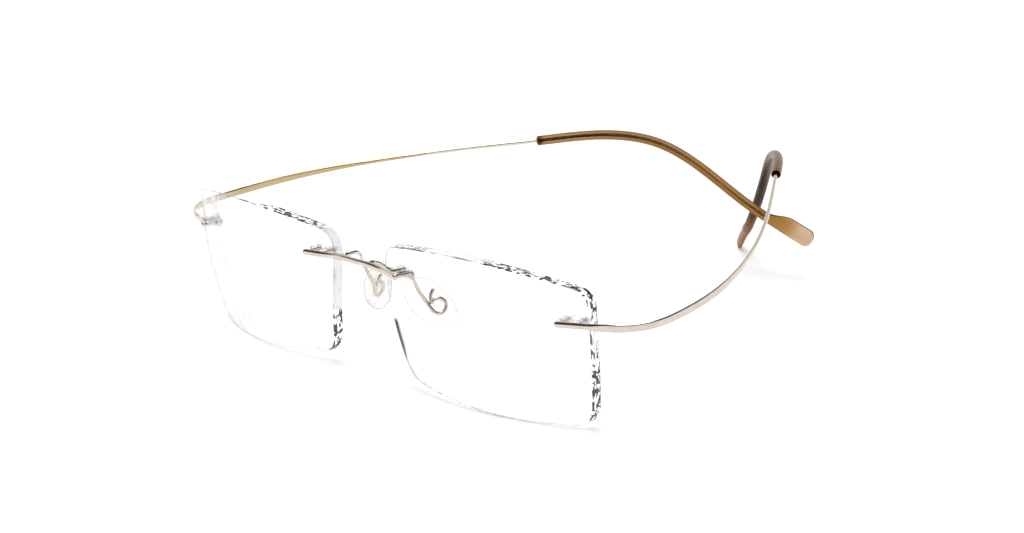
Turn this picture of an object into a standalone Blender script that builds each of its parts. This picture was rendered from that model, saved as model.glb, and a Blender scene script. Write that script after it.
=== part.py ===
"""Rimless, hingeless titanium eyeglasses: 25 separate pieces, resting on a table.

World frame: metres, +X to the wearer's left, +Y from the front towards the ears, +Z up.
The origin is under the middle of the resting glasses, on the table. Dimensions below are
in millimetres. Design coordinates count Y from just in front of the bridge; to_world()
shifts them back and turns them into metres.
"""
import math

import bmesh
import bpy
import numpy as np
from mathutils import Matrix, Vector

MM = 0.001
CENTRE_Y = 53.54                # from the front of the bridge zone to the middle of the depth

# lenses
LENS_WIDTH = 53.0
BRIDGE_GAP = 17.0
LENS_THICKNESS = 2.0
LENS_RADIUS = 73.0              # front surface of the demo lens
LENS_CHAMFER = 0.2
LENS_MID_HEIGHT = 13.86
FACE_FORM = math.radians(5.4)   # temporal side swept back
LENS_TILT = math.radians(4.05)  # lower edge swept back, as the front leans at rest
# corners as (across, up, rounding length), from the upper nasal one round the temporal side
LENS_CORNERS = ((-26.85, 11.35, 4.3), (26.35, 10.45, 2.8), (23.5, -14.0, 3.4), (-22.35, -12.15, 3.2))
LENS_BULGES = (3.4, 1.15, 1.0, 0.7)     # outward bow of the top, temporal, lower and nasal edges
SIDE_STEPS = 7
CORNER_STEPS = 4
LENS_RINGS = (0.3, 0.6, 0.85)

# compression mounts: two posts in a clear double sleeve, through two holes in the lens
BRIDGE_MOUNT = (-22.4, 7.5)     # middle of the hole pair on the lens, across and up
END_MOUNT = (22.9, 5.0)
HOLE_SPACING = 3.5
HOLE_RADIUS = 0.80
SLEEVE_RADIUS = 0.74
SLEEVE_BORE = 0.46
SLEEVE_FLANGE = (7.4, 1.8, 0.5)  # length, width, thickness
FLANGE_STANDOFF = 0.14          # clears the curved back of the lens
SLEEVE_START = 0.25             # where a sleeve's tube begins behind the lens front
SLEEVE_STEP = 0.1               # the tube stops this far inside the flange
POST_RADIUS = 0.40
POST_END = 0.5                  # how far a post shows behind the flange
FIT_GAP = 0.05                  # between soldered or pressed pieces
ROUND_SIDES = 16

# bridge bar and end bars
BAR_RADIUS = 0.55
BAR_PAST_POST = 0.45            # how far a bar's straight part runs past the free post
BAR_ON_EDGE = 3.6               # from the middle of a mount to the lens edge
EDGE_EARLY = 0.4                # an end bar leaves the lens front this much earlier
BAR_STANDOFF = BAR_RADIUS + 0.1
BRIDGE_MIDDLE = (0.0, 3.9, 22.0)
BRIDGE_SIDE = (4.4, 4.0, 21.95)
BRIDGE_STEP = 1.2
DOME_ANGLES = (75, 45, 20)      # rings of a rounded bar end, in degrees

# temple strip, wire and tip
STRIP_HALF_HEIGHT = 0.68
STRIP_HALF_THICKNESS = 0.28
WIRE_RADIUS = 0.36
STRIP_FULL_UNTIL = 16.0         # distance from the flex point where the strip starts to taper
STRIP_GONE_AT = 42.0            # distance from the flex point where it is a round wire
FLEX_POINT = (69.6, 15.5, 19.65)
FLEX_GAP = 0.4                  # between the end bar and the strip, at the flex point
STRIP_BLEND = 4.0               # length over which the round end bar flattens
END_BAR_TURN = ((62.0, 9.2, 19.5), (66.3, 11.3, 19.5))
TEMPLE_ROUTE = {
    "left": ((69.9, 22.0, 20.2), (67.8, 31.4, 21.3), (60.1, 45.9, 23.3), (51.3, 57.3, 25.1),
             (42.9, 66.4, 26.8), (35.2, 74.2, 28.0), (26.1, 82.7, 28.3), (16.4, 89.3, 25.7),
             (7.65, 94.7, 19.1), (-0.8, 98.45, 9.95), (-11.6, 103.485, 0.95)),
    "right": ((70.5, 22.2, 19.85), (69.1, 31.6, 20.6), (61.5, 46.0, 22.2), (52.7, 57.3, 23.3),
              (44.2, 66.1, 24.2), (36.3, 73.6, 24.9), (26.9, 81.8, 25.7), (16.6, 88.1, 24.3),
              (6.65, 91.1, 19.8), (-3.95, 92.75, 14.1), (-16.3, 96.5, 7.43)),
}
TEMPLE_STEP = 1.8
TIP_START_KNOT = 5              # the route point where the plastic tip begins
TIP_RADIUS = 0.97
TIP_BORE = 0.46
CORE_SHORT_OF_END = 9.3        # the wire stops this far before the end of the tip
PADDLE_LENGTH = 10.0
PADDLE_HALF_HEIGHT = 1.8
PADDLE_HALF_THICKNESS = 0.72
PADDLE_EASE = 1.7               # how early along the paddle it reaches its full size
PADDLE_DOME = 1.3               # how far the rounded end stands out
PADDLE_DOME_ANGLES = (40, 70)
PADDLE_TWIST = math.radians(22)         # the paddle is turned about the tip, to lie flat on the head
TIP_SIDES = 12
BORE_PAST_CORE = 1.0            # how far the tip's bore runs past the end of the wire

# nose pads and their arms
PAD_CENTRE = (8.2, 14.0, 13.1)
PAD_NORMAL = (0.87, -0.38, 0.31)        # towards the lens
PAD_LONG_AXIS = (0.5, 0.72, -1.0)       # downwards
PAD_HALF_LENGTH = 5.8
PAD_HALF_WIDTH = 3.4
PAD_BACK_DEPTH = 1.3            # from the mid plane to the flat face towards the lens
PAD_FRONT_DEPTH = 1.2           # from the mid plane to the soft face on the nose
PAD_SIDES = 28
PAD_EGG = 0.06                  # how much narrower the lower end is than the middle
# rings of the pad from the lens side to the nose side: (scale, height over the mid plane)
PAD_PROFILE = ((0.80, PAD_BACK_DEPTH), (0.94, 0.9), (1.0, 0.2), (0.97, -0.35),
               (0.86, -0.8), (0.62, -1.08), (0.3, -PAD_FRONT_DEPTH))
POCKET_FLOOR = -0.2             # height of the pocket's floor over the mid plane
CURL_CENTRE = (1.3, 0.5)        # along and across the pad
CURL_RADIUS = 1.38
CURL_START = math.radians(-102)
CURL_TURN = math.radians(300)
CURL_HEIGHT = 0.5
CURL_TAIL = ((-0.72, 0.62), (-1.15, 1.2), (-1.35, 2.0))     # along and across the pad, after the curl
CURL_STEPS = 16
ARM_LEAD_IN = Vector((-2.4, 0.5, 0.0))     # from the start of the curl back along the arm
ARM_RADIUS = 0.36
ARM_STEP = 0.55
ARM_SIDES = 8
POCKET_SIDES = 20
CUT_OVERSHOOT = 1.0             # a cutter runs this far past the face it opens
CUT_STAGGER = 0.02              # between the floors of overlapping cutters
POCKET_MARGIN = 0.3             # between the wire and the pocket's walls
SLOT_PAST_CURL = 0.4            # the arm's slot runs this far into the round pocket
SLOT_FLARE = 1.0                # extra slot width on the side that the arm comes from
TAIL_INSIDE_CURL = 0.5          # the tail's slot stops this far before the curl's middle
ARM_ROOT = (4.2, 5.0, 22.2)
ARM_KNEE = {
    "left": ((4.4, 6.55, 21.5), (5.0, 7.6, 20.45)),
    "right": ((4.2, 7.5, 22.1), (4.7, 8.2, 21.6)),
}
ARM_SHOULDER = (7.4, 10.3, 19.3)

TITANIUM = ((0.62, 0.56, 0.50, 1.0), 0.28, 1.0)
CLEAR_LENS = ((0.93, 0.95, 0.96, 0.3), 0.03, 0.0)
CLEAR_SLEEVE = ((0.92, 0.93, 0.93, 0.4), 0.15, 0.0)
CLEAR_SILICONE = ((0.93, 0.92, 0.86, 0.45), 0.3, 0.0)
BROWN_TIP = ((0.40, 0.20, 0.08, 1.0), 0.35, 0.0)


# ---------------------------------------------------------------- small helpers

def to_world(point):
    """Design millimetres to world metres."""
    return Vector((point[0], point[1] - CENTRE_Y, point[2])) * MM


def mirrored(point):
    return Vector((-point[0], point[1], point[2]))


def clear_scene():
    for old in list(bpy.data.objects):
        bpy.data.objects.remove(old, do_unlink=True)


def make_material(name, look):
    colour, roughness, metallic = look
    material = bpy.data.materials.new(name)
    material.use_nodes = True
    shader = material.node_tree.nodes["Principled BSDF"]
    shader.inputs["Base Color"].default_value = colour
    shader.inputs["Roughness"].default_value = roughness
    shader.inputs["Metallic"].default_value = metallic
    shader.inputs["Alpha"].default_value = colour[3]
    material.diffuse_color = colour
    return material


def add_object(name, shape, look, pivot=None, side="left"):
    """Turn a bmesh in left-hand design millimetres into a scene object.

    The right-hand piece is the mirror image. A moving piece keeps its origin on pivot.
    """
    place = mirrored if side == "right" else Vector
    origin = to_world(place(pivot)) if pivot else Vector()
    for vertex in shape.verts:
        vertex.co = to_world(place(vertex.co)) - origin
    bmesh.ops.recalc_face_normals(shape, faces=shape.faces)
    mesh = bpy.data.meshes.new(name)
    shape.to_mesh(mesh)
    shape.free()
    mesh.shade_smooth()
    mesh.set_sharp_from_angle(angle=math.radians(35))
    mesh.materials.append(make_material(name, look))
    piece = bpy.data.objects.new(name, mesh)
    piece.location = origin
    bpy.context.scene.collection.objects.link(piece)
    return piece


def combine(piece, other, operation):
    """Boolean with a helper solid that the build leaves out."""
    other.hide_render = True
    other.display_type = "WIRE"
    step = piece.modifiers.new(other.name, "BOOLEAN")
    step.operation = operation
    step.solver = "EXACT"
    step.object = other


def smooth_curve(knots, step):
    """Points about step apart on the natural cubic spline through the knots."""
    knots = np.array([tuple(k) for k in knots], float)
    spans = np.linalg.norm(np.diff(knots, axis=0), axis=1)
    count = len(knots)
    system = np.eye(count)
    right_side = np.zeros_like(knots)
    for i in range(1, count - 1):
        system[i, i - 1:i + 2] = (spans[i - 1], 2 * (spans[i - 1] + spans[i]), spans[i])
        rise = (knots[i + 1] - knots[i]) / spans[i] - (knots[i] - knots[i - 1]) / spans[i - 1]
        right_side[i] = 6 * rise
    bend = np.linalg.solve(system, right_side)
    points = []
    for i, span in enumerate(spans):
        pieces = max(1, round(span / step))
        for k in range(pieces + (i == len(spans) - 1)):
            b = k / pieces
            a = 1 - b
            curved = ((a**3 - a) * bend[i] + (b**3 - b) * bend[i + 1]) * span**2 / 6
            points.append(Vector(a * knots[i] + b * knots[i + 1] + curved))
    return points


def distances(points):
    """Distance along the points, from the first one."""
    total = [0.0]
    for a, b in zip(points, points[1:]):
        total.append(total[-1] + (b - a).length)
    return total


def frames_along(points, up=Vector((0, 0, 1))):
    """A tangent, an across and an up direction at each point, carried along without twist."""
    frames = []
    for i, point in enumerate(points):
        before = points[max(i - 1, 0)]
        after = points[min(i + 1, len(points) - 1)]
        tangent = (after - before).normalized()
        across = tangent.cross(up).normalized()
        up = across.cross(tangent)
        frames.append((tangent, across, up))
    return frames


def section_ring(shape, centre, across, up, half_across, half_up, sides):
    """A rounded section: an ellipse of the given half sizes."""
    ring = []
    for k in range(sides):
        angle = 2 * math.pi * (k + 0.5) / sides
        offset = across * half_across * math.cos(angle) + up * half_up * math.sin(angle)
        ring.append(shape.verts.new(centre + offset))
    return ring


def skin(shape, rings, close_start=True, close_end=True):
    """Join successive rings with quads, and cap the ends."""
    for low, high in zip(rings, rings[1:]):
        count = len(low)
        for k in range(count):
            shape.faces.new((low[k], low[(k + 1) % count], high[(k + 1) % count], high[k]))
    if close_start:
        shape.faces.new(rings[0])
    if close_end:
        shape.faces.new(rings[-1])


def swept_bar(points, sizes, sides, round_start=False, round_end=False):
    """A bar through the points; sizes gives (half across, half up) for each of them."""
    shape = bmesh.new()
    frames = frames_along(points)
    rings = []

    def domed(index, sign):
        centre, (tangent, across, up), (a, u) = points[index], frames[index], sizes[index]
        depth = min(a, u)
        for turn in DOME_ANGLES:
            lean = math.radians(turn)
            out = centre + tangent * sign * depth * math.sin(lean)
            scale = math.cos(lean)
            yield section_ring(shape, out, across, up, a * scale, u * scale, sides)

    if round_start:
        rings += list(domed(0, -1))
    for point, (_, across, up), (a, u) in zip(points, frames, sizes):
        rings.append(section_ring(shape, point, across, up, a, u, sides))
    if round_end:
        rings += list(reversed(list(domed(len(points) - 1, 1))))
    skin(shape, rings)
    return shape


def cylinder(frame, along, radius, start, end, sides=ROUND_SIDES, shape=None):
    """A cylinder on the frame's Y axis, moved by `along` on its X axis."""
    shape = shape or bmesh.new()
    across, axis, up = (frame.col[i].xyz for i in range(3))
    base = frame.translation + across * along
    rings = [section_ring(shape, base + axis * y, across, up, radius, radius, sides)
             for y in (start, end)]
    skin(shape, rings)
    return shape


# ---------------------------------------------------------------- lenses

def lens_depth(across, up):
    """How far the front surface lies behind its foremost point."""
    return LENS_RADIUS - math.sqrt(LENS_RADIUS**2 - across**2 - up**2)


def lens_turn():
    """The lens's lean and sweep, about its nasal edge."""
    return Matrix.Rotation(LENS_TILT, 3, "X") @ Matrix.Rotation(FACE_FORM, 3, "Z")


def lens_point(across, up, behind=0.0):
    """A point of the left lens, in design millimetres."""
    local = Vector((across + LENS_WIDTH / 2, lens_depth(across, up) + behind, up))
    return lens_turn() @ local + Vector((BRIDGE_GAP / 2, 0.0, LENS_MID_HEIGHT))


def edge_point(index, t):
    """A point on one bowed edge, t from 0 to 1 between its two corners."""
    start = Vector(LENS_CORNERS[index][:2])
    end = Vector(LENS_CORNERS[(index + 1) % 4][:2])
    along = end - start
    outward = Vector((-along.y, along.x)).normalized()
    return start + along * t + outward * LENS_BULGES[index] * 4 * t * (1 - t)


def lens_outline():
    """The rounded four-sided outline, clockwise seen from the front."""
    points = []
    for i in range(4):
        j = (i + 1) % 4
        k = (i + 2) % 4
        length = (Vector(LENS_CORNERS[j][:2]) - Vector(LENS_CORNERS[i][:2])).length
        next_length = (Vector(LENS_CORNERS[k][:2]) - Vector(LENS_CORNERS[j][:2])).length
        first = LENS_CORNERS[i][2] / length
        last = 1 - LENS_CORNERS[j][2] / length
        for step in range(SIDE_STEPS):
            points.append(edge_point(i, first + (last - first) * step / SIDE_STEPS))
        start = edge_point(i, last)
        end = edge_point(j, LENS_CORNERS[j][2] / next_length)
        corner = Vector(LENS_CORNERS[j][:2])
        for step in range(CORNER_STEPS):
            t = step / CORNER_STEPS
            points.append(start * (1 - t)**2 + corner * 2 * t * (1 - t) + end * t**2)
    return points


def lens_solid():
    outline = lens_outline()
    shape = bmesh.new()

    def ring(scale, behind, inset=0.0):
        points = []
        for point in outline:
            kept = point * scale
            kept -= kept.normalized() * inset
            points.append(shape.verts.new(lens_point(kept.x, kept.y, behind)))
        return points

    front = [ring(scale, 0.0) for scale in LENS_RINGS]
    back = [ring(scale, LENS_THICKNESS) for scale in reversed(LENS_RINGS)]
    rim = [ring(1, 0.0, LENS_CHAMFER), ring(1, LENS_CHAMFER),
           ring(1, LENS_THICKNESS - LENS_CHAMFER), ring(1, LENS_THICKNESS, LENS_CHAMFER)]
    skin(shape, front + rim + back, close_start=False, close_end=False)
    for edge, behind in ((front[0], 0.0), (back[-1], LENS_THICKNESS)):
        middle = shape.verts.new(lens_point(0, 0, behind))
        for k, vertex in enumerate(edge):
            shape.faces.new((vertex, edge[(k + 1) % len(edge)], middle))
    return shape


def mount_frame(mount):
    """Axes at a mount on the left lens: X outward along the bar, Y into the lens, Z up."""
    across, up = mount
    centre = Vector((0, LENS_RADIUS, 0))
    inward = centre - Vector((across, lens_depth(across, up), up))
    into = (lens_turn() @ inward).normalized()
    outward = into.cross(Vector((0, 0, 1))).normalized()
    upward = outward.cross(into)
    frame = Matrix((outward, into, upward)).transposed().to_4x4()
    frame.translation = lens_point(across, up)
    return frame


def mount_point(frame, along, behind, up=0.0):
    return frame @ Vector((along, behind, up))


def post_places():
    return (-HOLE_SPACING / 2, HOLE_SPACING / 2)


def build_lenses():
    for side in ("left", "right"):
        lens = add_object(f"{side}_lens", lens_solid(), CLEAR_LENS, side=side)
        drills = bmesh.new()
        for mount in (BRIDGE_MOUNT, END_MOUNT):
            frame = mount_frame(mount)
            for along in post_places():
                cylinder(frame, along, HOLE_RADIUS, -CUT_OVERSHOOT, LENS_THICKNESS + CUT_OVERSHOOT,
                         shape=drills)
        cutter = add_object(f"cut_{side}_lens_holes", drills, CLEAR_LENS, side=side)
        combine(lens, cutter, "DIFFERENCE")


# ---------------------------------------------------------------- compression mounts

def flange_solid(frame):
    """The oblong plate of a double sleeve, against the back of the lens."""
    length, width, thickness = SLEEVE_FLANGE
    radius = width / 2
    reach = length / 2 - radius
    shape = bmesh.new()
    rings = []
    face = LENS_THICKNESS + FLANGE_STANDOFF
    for behind in (face, face + thickness):
        ring = []
        for end, first in ((1, -90), (-1, 90)):
            for step in range(9):
                angle = math.radians(first + step * 22.5)
                along = end * reach + radius * math.cos(angle)
                ring.append(shape.verts.new(mount_point(frame, along, behind, radius * math.sin(angle))))
        rings.append(ring)
    skin(shape, rings)
    return shape


def build_mount(name, mount, side):
    """A double sleeve and its two posts."""
    frame = mount_frame(mount)
    back = LENS_THICKNESS + FLANGE_STANDOFF + SLEEVE_FLANGE[2]
    sleeve = add_object(f"{side}_{name}_sleeve", flange_solid(frame), CLEAR_SLEEVE, side=side)
    tubes = bmesh.new()
    bores = bmesh.new()
    for along in post_places():
        cylinder(frame, along, SLEEVE_RADIUS, SLEEVE_START, back - SLEEVE_STEP, shape=tubes)
        cylinder(frame, along, SLEEVE_BORE, -CUT_OVERSHOOT, back + CUT_OVERSHOOT, shape=bores)
    combine(sleeve, add_object(f"add_{side}_{name}_tubes", tubes, CLEAR_SLEEVE, side=side), "UNION")
    combine(sleeve, add_object(f"cut_{side}_{name}_bores", bores, CLEAR_SLEEVE, side=side), "DIFFERENCE")
    for place, along in zip(("inner", "outer"), post_places()):
        front = BAR_RADIUS - BAR_STANDOFF + FIT_GAP
        post = cylinder(frame, along, POST_RADIUS, front, back + POST_END)
        add_object(f"{side}_{name}_post_{place}", post, TITANIUM, side=side)


# ---------------------------------------------------------------- bridge and end bars

def mount_line(frame, first, last):
    """Knots along the bar where it lies on the lens front."""
    return [mount_point(frame, along, -BAR_STANDOFF) for along in (first, 0.0, last)]


def build_bridge():
    frame = mount_frame(BRIDGE_MOUNT)
    half = mount_line(frame, HOLE_SPACING / 2 + BAR_PAST_POST, -BAR_ON_EDGE) + [Vector(BRIDGE_SIDE)]
    knots = [mirrored(k) for k in half] + [Vector(BRIDGE_MIDDLE)] + list(reversed(half))
    points = smooth_curve(knots, BRIDGE_STEP)
    sizes = [(BAR_RADIUS, BAR_RADIUS)] * len(points)
    bar = swept_bar(points, sizes, TIP_SIDES, round_start=True, round_end=True)
    add_object("bridge_bar", bar, TITANIUM)


def nearest(points, knot):
    return min(range(len(points)), key=lambda i: (points[i] - Vector(knot)).length)


def side_curve(side):
    """Centreline from the end bar on the lens to the end of the tip."""
    frame = mount_frame(END_MOUNT)
    knots = mount_line(frame, -HOLE_SPACING / 2 - BAR_PAST_POST, BAR_ON_EDGE - EDGE_EARLY)
    knots += [Vector(k) for k in END_BAR_TURN + (FLEX_POINT,) + TEMPLE_ROUTE[side]]
    return smooth_curve(knots, TEMPLE_STEP)


def end_bar_solid(side):
    """Round on the lens, then flattening to the strip as it turns the lens edge."""
    whole = side_curve(side)
    split = nearest(whole, FLEX_POINT)
    points = whole[:split + 1]
    points[-1] += (points[-2] - points[-1]).normalized() * FLEX_GAP / 2
    along = distances(points)
    round_until = HOLE_SPACING / 2 + BAR_PAST_POST + BAR_ON_EDGE
    sizes = []
    for distance in along:
        flat = min(max((distance - round_until) / STRIP_BLEND, 0.0), 1.0)
        sizes.append((BAR_RADIUS + (STRIP_HALF_THICKNESS - BAR_RADIUS) * flat,
                      BAR_RADIUS + (STRIP_HALF_HEIGHT - BAR_RADIUS) * flat))
    return swept_bar(points, sizes, TIP_SIDES, round_start=True)


# ---------------------------------------------------------------- temples and tips

def temple_points(side):
    """Centreline of strip, wire and tip, and the index where the tip starts."""
    whole = side_curve(side)
    points = whole[nearest(whole, FLEX_POINT):]
    return points, nearest(points, TEMPLE_ROUTE[side][TIP_START_KNOT])


def temple_solid(side):
    points, _ = temple_points(side)
    along = distances(points)
    kept = [p for p, d in zip(points, along) if d < along[-1] - CORE_SHORT_OF_END]
    kept[0] = kept[0] + (kept[1] - kept[0]).normalized() * FLEX_GAP / 2
    sizes = []
    for distance in along[:len(kept)]:
        taper = (distance - STRIP_FULL_UNTIL) / (STRIP_GONE_AT - STRIP_FULL_UNTIL)
        taper = min(max(taper, 0.0), 1.0)
        sizes.append((STRIP_HALF_THICKNESS + (WIRE_RADIUS - STRIP_HALF_THICKNESS) * taper,
                      STRIP_HALF_HEIGHT + (WIRE_RADIUS - STRIP_HALF_HEIGHT) * taper))
    return swept_bar(kept, sizes, TIP_SIDES)


def turned(across, up, angle):
    """The two section directions, turned about the tangent."""
    wide = up * math.cos(angle) + across * math.sin(angle)
    flat = across * math.cos(angle) - up * math.sin(angle)
    return flat, wide


def tip_solid(side):
    """A round sleeve that widens upward into a flat paddle, with a blind bore for the wire."""
    points, mouth = temple_points(side)
    frames = frames_along(points)
    along = distances(points)
    shape = bmesh.new()
    outer = []
    bore = []
    for i in range(mouth, len(points)):
        _, across, up = frames[i]
        left_over = along[-1] - along[i]
        spread = min(max(1 - left_over / PADDLE_LENGTH, 0.0), 1.0)
        widen = math.sin(min(spread * PADDLE_EASE, 1.0) * math.pi / 2)**2
        half_up = TIP_RADIUS + (PADDLE_HALF_HEIGHT - TIP_RADIUS) * widen
        half_across = TIP_RADIUS + (PADDLE_HALF_THICKNESS - TIP_RADIUS) * widen
        flat, wide = turned(across, up, PADDLE_TWIST * widen)
        centre = points[i] + wide * (half_up - TIP_RADIUS)
        outer.append(section_ring(shape, centre, flat, wide, half_across, half_up, TIP_SIDES))
        if left_over > CORE_SHORT_OF_END - BORE_PAST_CORE:
            bore.append(section_ring(shape, points[i], across, up, TIP_BORE, TIP_BORE, TIP_SIDES))
    tangent, across, up = frames[-1]
    flat, wide = turned(across, up, PADDLE_TWIST)
    for turn in PADDLE_DOME_ANGLES:
        lean = math.radians(turn)
        scale = math.cos(lean)
        centre = points[-1] + wide * (PADDLE_HALF_HEIGHT - TIP_RADIUS)
        centre += tangent * PADDLE_DOME * math.sin(lean)
        outer.append(section_ring(shape, centre, flat, wide, PADDLE_HALF_THICKNESS * scale,
                                  PADDLE_HALF_HEIGHT * scale, TIP_SIDES))
    skin(shape, outer, close_start=False)
    skin(shape, bore, close_start=False)
    skin(shape, [outer[0], bore[0]], close_start=False, close_end=False)
    return shape


def build_temple(side):
    pivot_frame = bpy.data.objects.new(f"{side}_flex_point", None)
    place = mirrored(FLEX_POINT) if side == "right" else Vector(FLEX_POINT)
    pivot_frame.location = to_world(place)
    bpy.context.scene.collection.objects.link(pivot_frame)
    add_object(f"{side}_end_bar", end_bar_solid(side), TITANIUM, side=side)
    temple = add_object(f"{side}_temple", temple_solid(side), TITANIUM, FLEX_POINT, side)
    tip = add_object(f"{side}_temple_tip", tip_solid(side), BROWN_TIP, FLEX_POINT, side)
    for piece in (temple, tip):
        piece.location = (0, 0, 0)
        piece.parent = pivot_frame


# ---------------------------------------------------------------- nose pads

def pad_frame():
    """Axes of the left pad: X down its length, Y across, Z towards the lens."""
    normal = Vector(PAD_NORMAL).normalized()
    along = Vector(PAD_LONG_AXIS)
    along = (along - normal * along.dot(normal)).normalized()
    across = normal.cross(along)
    frame = Matrix((along, across, normal)).transposed().to_4x4()
    frame.translation = Vector(PAD_CENTRE)
    return frame


def pad_solid(frame):
    """An oval cushion: nearly flat towards the lens, domed on the nose side."""
    shape = bmesh.new()
    rings = []
    for scale, height in PAD_PROFILE:
        ring = []
        for k in range(PAD_SIDES):
            angle = 2 * math.pi * k / PAD_SIDES
            egg = 1 - PAD_EGG * math.cos(angle)
            local = Vector((PAD_HALF_LENGTH * scale * math.cos(angle),
                            PAD_HALF_WIDTH * scale * egg * math.sin(angle), height))
            ring.append(shape.verts.new(frame @ local))
        rings.append(ring)
    skin(shape, rings)
    return shape


def curl_point(angle, radius=CURL_RADIUS, height=CURL_HEIGHT):
    return Vector((CURL_CENTRE[0] + radius * math.cos(angle),
                   CURL_CENTRE[1] + radius * math.sin(angle), height))


def arm_solid(frame, side):
    """Wire from the back of the bridge to the curl that holds the pad."""
    entry = curl_point(CURL_START)
    knots = [Vector(k) for k in (ARM_ROOT, *ARM_KNEE[side], ARM_SHOULDER)]
    lead_in = frame @ (entry + ARM_LEAD_IN)
    knots += [(knots[-1] + lead_in) / 2, lead_in]
    for step in range(CURL_STEPS + 1):
        knots.append(frame @ curl_point(CURL_START + CURL_TURN * step / CURL_STEPS))
    knots += [frame @ Vector((*place, CURL_HEIGHT)) for place in CURL_TAIL]
    points = smooth_curve(knots, ARM_STEP)
    sizes = [(ARM_RADIUS, ARM_RADIUS)] * len(points)
    return swept_bar(points, sizes, ARM_SIDES, round_end=True)


def boxed_cut(frame, low, high, floor):
    """A box in the pad's axes, open towards the lens."""
    shape = bmesh.new()
    rings = []
    for height in (floor, PAD_BACK_DEPTH + CUT_OVERSHOOT):
        corners = ((low[0], low[1]), (high[0], low[1]), (high[0], high[1]), (low[0], high[1]))
        rings.append([shape.verts.new(frame @ Vector((x, y, height))) for x, y in corners])
    skin(shape, rings)
    return shape


def pocket_solids(frame):
    """Helpers that cut the pad's pocket: round for the curl, square for its arm and its tail."""
    margin = ARM_RADIUS + POCKET_MARGIN
    pocket = bmesh.new()
    rings = []
    for height in (POCKET_FLOOR, PAD_BACK_DEPTH + CUT_OVERSHOOT):
        angles = [2 * math.pi * k / POCKET_SIDES for k in range(POCKET_SIDES)]
        rings.append([pocket.verts.new(frame @ curl_point(angle, CURL_RADIUS + margin, height))
                      for angle in angles])
    skin(pocket, rings)
    entry = curl_point(CURL_START)
    slot = boxed_cut(frame, (-PAD_HALF_LENGTH - CUT_OVERSHOOT, entry.y - margin),
                     (entry.x + SLOT_PAST_CURL, entry.y + margin + SLOT_FLARE),
                     POCKET_FLOOR + CUT_STAGGER)
    tail_low = (min(x for x, _ in CURL_TAIL) - margin, entry.y)
    tail_high = (CURL_CENTRE[0] - TAIL_INSIDE_CURL, max(y for _, y in CURL_TAIL) + margin)
    tail = boxed_cut(frame, tail_low, tail_high, POCKET_FLOOR + 2 * CUT_STAGGER)
    return {"pocket": pocket, "slot": slot, "tail": tail}


def build_pads():
    frame = pad_frame()
    pivot = frame @ Vector((CURL_CENTRE[0], CURL_CENTRE[1], CURL_HEIGHT))
    for side in ("left", "right"):
        add_object(f"{side}_pad_arm", arm_solid(frame, side), TITANIUM, side=side)
        pad = add_object(f"{side}_nose_pad", pad_solid(frame), CLEAR_SILICONE, pivot, side)
        for name, solid in pocket_solids(frame).items():
            cutter = add_object(f"cut_{side}_pad_{name}", solid, CLEAR_SILICONE, side=side)
            combine(pad, cutter, "DIFFERENCE")


def main():
    clear_scene()
    build_lenses()
    build_bridge()
    for side in ("left", "right"):
        build_mount("bridge", BRIDGE_MOUNT, side)
        build_mount("end", END_MOUNT, side)
        build_temple(side)
    build_pads()


main()
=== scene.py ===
"""Looks for the rimless eyeglasses: fine meshes, procedural materials, light and camera.

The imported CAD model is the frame. Dimensions are in millimetres and repeat the ones in the
CAD source; design coordinates count Y from just in front of the bridge, and to_world()
shifts them back and turns them into metres.
"""

import math

import bmesh
import bpy
import numpy as np
from mathutils import Matrix, Vector


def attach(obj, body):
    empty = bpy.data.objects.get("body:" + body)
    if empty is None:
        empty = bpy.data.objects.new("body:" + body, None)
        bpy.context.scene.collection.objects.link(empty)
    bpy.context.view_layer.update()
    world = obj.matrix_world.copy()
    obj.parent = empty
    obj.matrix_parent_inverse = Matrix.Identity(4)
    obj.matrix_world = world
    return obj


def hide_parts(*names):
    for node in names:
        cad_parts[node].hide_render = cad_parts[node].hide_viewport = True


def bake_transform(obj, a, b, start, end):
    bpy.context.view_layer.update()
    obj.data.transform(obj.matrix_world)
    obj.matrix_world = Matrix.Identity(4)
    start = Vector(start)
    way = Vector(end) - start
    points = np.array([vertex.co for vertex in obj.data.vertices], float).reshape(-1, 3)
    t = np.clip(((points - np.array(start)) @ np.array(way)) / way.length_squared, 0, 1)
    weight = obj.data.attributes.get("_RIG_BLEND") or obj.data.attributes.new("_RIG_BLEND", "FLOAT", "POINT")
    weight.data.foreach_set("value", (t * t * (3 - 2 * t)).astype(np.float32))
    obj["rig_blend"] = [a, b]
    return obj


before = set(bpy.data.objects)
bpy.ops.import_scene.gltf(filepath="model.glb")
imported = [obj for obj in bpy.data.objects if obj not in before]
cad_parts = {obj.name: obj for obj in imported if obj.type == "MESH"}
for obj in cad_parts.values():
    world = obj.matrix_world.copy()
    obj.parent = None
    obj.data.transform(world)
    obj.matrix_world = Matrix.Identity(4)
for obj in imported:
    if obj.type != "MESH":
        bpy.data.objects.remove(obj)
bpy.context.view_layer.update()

MM = 0.001
CENTRE_Y = 53.54

# ---------------------------------------------------------------- sizes repeated from the CAD

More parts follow.
